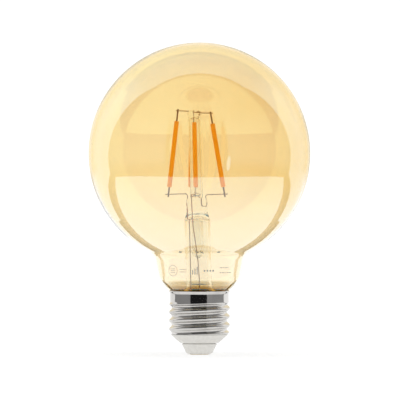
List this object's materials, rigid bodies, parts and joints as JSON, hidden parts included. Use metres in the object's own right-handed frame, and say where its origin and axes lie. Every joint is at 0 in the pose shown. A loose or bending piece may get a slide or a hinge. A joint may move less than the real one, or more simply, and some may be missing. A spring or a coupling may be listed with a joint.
{
  "type": "smart light bulb",
  "caption": "Amber glass globe lamp with LED filaments on a glass stem, a screw cap and a small radio-controlled driver hidden in the cap.",
  "frame": {"origin": "middle of the bottom face of the centre contact, on the lamp axis", "axes": "+Z along the lamp axis from the cap to the globe, +X to the right of the view in which the print on the neck faces the viewer, -Y towards that viewer"},
  "size_m": [0.095, 0.095, 0.1337],
  "materials": {
    "amber_glass": "smooth blown glass with an even amber tint",
    "clear_glass": "clear lead glass, fire polished",
    "nickel_wire": "drawn nickel-iron wire, slightly oxidised",
    "copper_clad_wire": "copper-clad wire with a dark red borated skin",
    "filament_coat": "orange phosphor silicone",
    "ceramic_strip": "sintered alumina strip",
    "led_chip": "sapphire chips",
    "clip_metal": "plated steel strip",
    "nickel_shell": "bright nickel plate on rolled brass",
    "white_insulator": "off-white moulded plastic",
    "contact_brass": "plated brass",
    "cement": "baked basing cement",
    "sleeve_film": "white plastic film",
    "green_board": "solder mask on glass-fibre board",
    "black_package": "moulded epoxy",
    "capacitor_sleeve": "shrink sleeve",
    "ferrite": "sintered ferrite",
    "copper": "enamelled copper",
    "solder": "tin solder",
    "resistor_body": "lacquered resistor",
    "insulated_wire": "white wire insulation",
    "shield_metal": "tinned steel"
  },
  "bodies": {
    "root": {"anchor_wire": "nickel_wire", "basing_cement": "cement", "bridge_rectifier": "black_package", "cap_insulator": "white_insulator", "centre_contact": "contact_brass", "choke_core": "ferrite", "choke_winding": "copper", "contact_wire": "nickel_wire", "driver_board": "green_board", "driver_chip": "black_package", "exhaust_tube": "clear_glass", "filament_back_chips": "led_chip", "filament_back_clips": "clip_metal", "filament_back_coat": "filament_coat", "filament_back_strip": "ceramic_strip", "filament_front_chips": "led_chip", "filament_front_clips": "clip_metal", "filament_front_coat": "filament_coat", "filament_front_strip": "ceramic_strip", "filament_left_chips": "led_chip", "filament_left_clips": "clip_metal", "filament_left_coat": "filament_coat", "filament_left_strip": "ceramic_strip", "filament_right_chips": "led_chip", "filament_right_clips": "clip_metal", "filament_right_coat": "filament_coat", "filament_right_strip": "ceramic_strip", "fuse_resistor": "resistor_body", "glass_globe": "amber_glass", "inner_lead_front": "nickel_wire", "inner_lead_left": "nickel_wire", "insulating_sleeve": "sleeve_film", "outer_lead_front": "nickel_wire", "outer_lead_left": "nickel_wire", "radio_antenna": "copper", "radio_board": "green_board", "radio_pins": "solder", "radio_shield": "shield_metal", "rod_button": "clear_glass", "screw_shell": "nickel_shell", "seal_wire_front": "copper_clad_wire", "seal_wire_left": "copper_clad_wire", "shell_wire": "insulated_wire", "smoothing_capacitor": "capacitor_sleeve", "solder_joints": "solder", "stem_flare": "clear_glass", "stem_press": "clear_glass", "support_rod": "clear_glass", "top_wire_left": "nickel_wire", "top_wire_right": "nickel_wire"}
  },
  "joints": []
}
